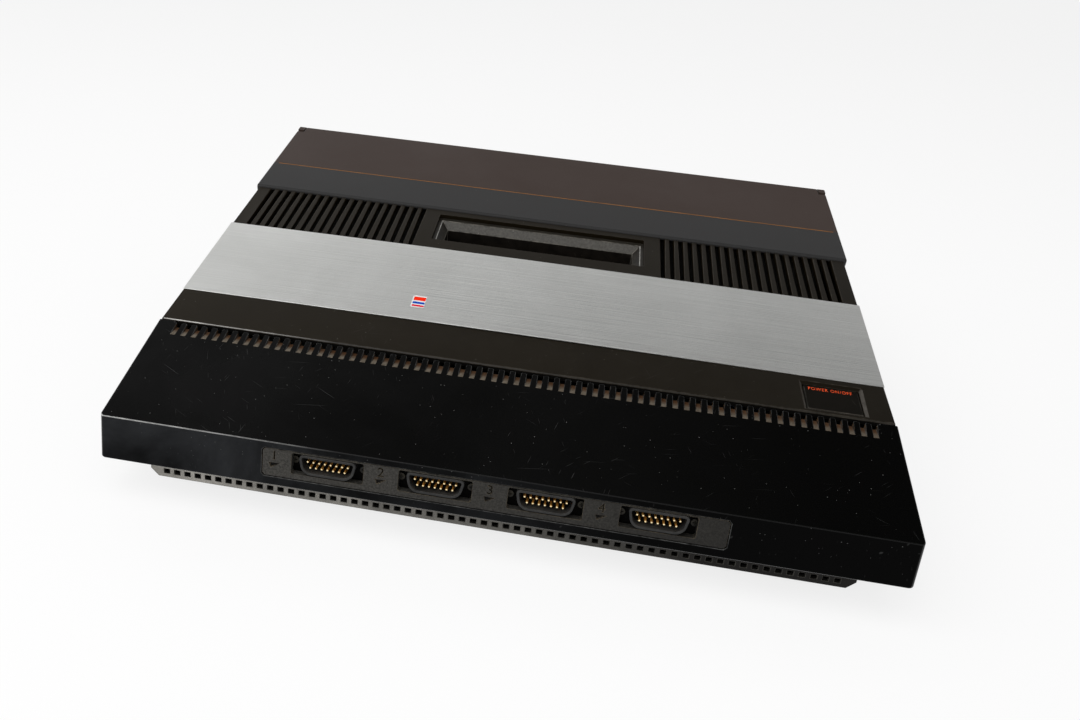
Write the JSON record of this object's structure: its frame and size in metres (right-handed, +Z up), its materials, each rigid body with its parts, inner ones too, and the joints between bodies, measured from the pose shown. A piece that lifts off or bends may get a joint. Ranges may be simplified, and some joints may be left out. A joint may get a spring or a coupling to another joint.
{
  "type": "video game console",
  "caption": "Low wedge-shaped home video game console with a sloping front, controller ports, a brushed band, a cartridge slot between grilles and a storage lid at the rear.",
  "frame": {"origin": "centre of the footprint at the feet", "axes": "+X to the right along the width, +Y to the rear, +Z up; the ports face -Y"},
  "size_m": [0.3824, 0.3259, 0.1087],
  "materials": {
    "gloss_shell": "glossy black",
    "satin_housing": "satin black, fine grained",
    "port_plate_plastic": "matte black",
    "port_plastic": "satin black",
    "gilt": "gold plated",
    "board": "green solder mask",
    "plated_steel": "zinc plated",
    "ribbon": "grey",
    "brushed_band": "brushed across",
    "badge": "printed",
    "button_plastic": "satin black",
    "spring_steel": "bright",
    "component_black": "matte black",
    "well_plastic": "satin black",
    "bin_plastic": "satin black",
    "tray_plastic": "matte black",
    "foot_rubber": "matte",
    "tin_plate": "tinned",
    "plain_aluminium": "mill finish",
    "capacitor_sleeve": "dark blue sleeve",
    "grommet_rubber": "matte"
  },
  "bodies": {
    "console": {"front_shell": "gloss_shell", "port_plate": "port_plate_plastic", "controller_port_1": "port_plastic", "controller_port_2": "port_plastic", "controller_port_3": "port_plastic", "controller_port_4": "port_plastic", "port_pins": "gilt", "port_board": "board", "port_screws": "plated_steel", "port_ribbon": "ribbon", "upper_housing": "satin_housing", "trim_panel": "brushed_band", "trim_badge": "badge", "button_spring": "spring_steel", "power_switch": "component_black", "cartridge_well": "well_plastic", "cartridge_connector": "component_black", "connector_contacts": "gilt", "storage_bin": "bin_plastic", "bottom_case": "tray_plastic", "rubber_feet": "foot_rubber", "case_screws": "plated_steel", "main_board": "board", "board_screws": "plated_steel", "processor_chips": "component_black", "rf_shield_upper": "tin_plate", "rf_shield_lower": "tin_plate", "heat_sink": "plain_aluminium", "voltage_regulators": "component_black", "filter_capacitors": "capacitor_sleeve", "clock_crystal": "tin_plate", "rf_modulator": "tin_plate", "channel_switch_body": "component_black", "cable_grommet": "grommet_rubber"},
    "button": {"power_button": "button_plastic"},
    "lid": {"storage_lid": "satin_housing", "lid_hinge_pins": "plated_steel"},
    "switch": {"channel_switch": "button_plastic"}
  },
  "joints": [
    {"name": "button_press", "type": "slide", "parent": "console", "child": "button", "axis": [0, 0.1707, -0.9853], "range_m": [0, 0.002], "stiffness_N_per_m": 300, "springref_m": -0.002, "deforming": ["button_spring"]},
    {"name": "lid_hinge", "type": "hinge", "parent": "console", "child": "lid", "pos_m": [0, 0.1588, 0.10451], "axis": [-1, 0, 0], "range_deg": [0, 105]},
    {"name": "channel_slide", "type": "slide", "parent": "console", "child": "switch", "axis": [1, 0, 0], "range_m": [0, 0.003]}
  ]
}
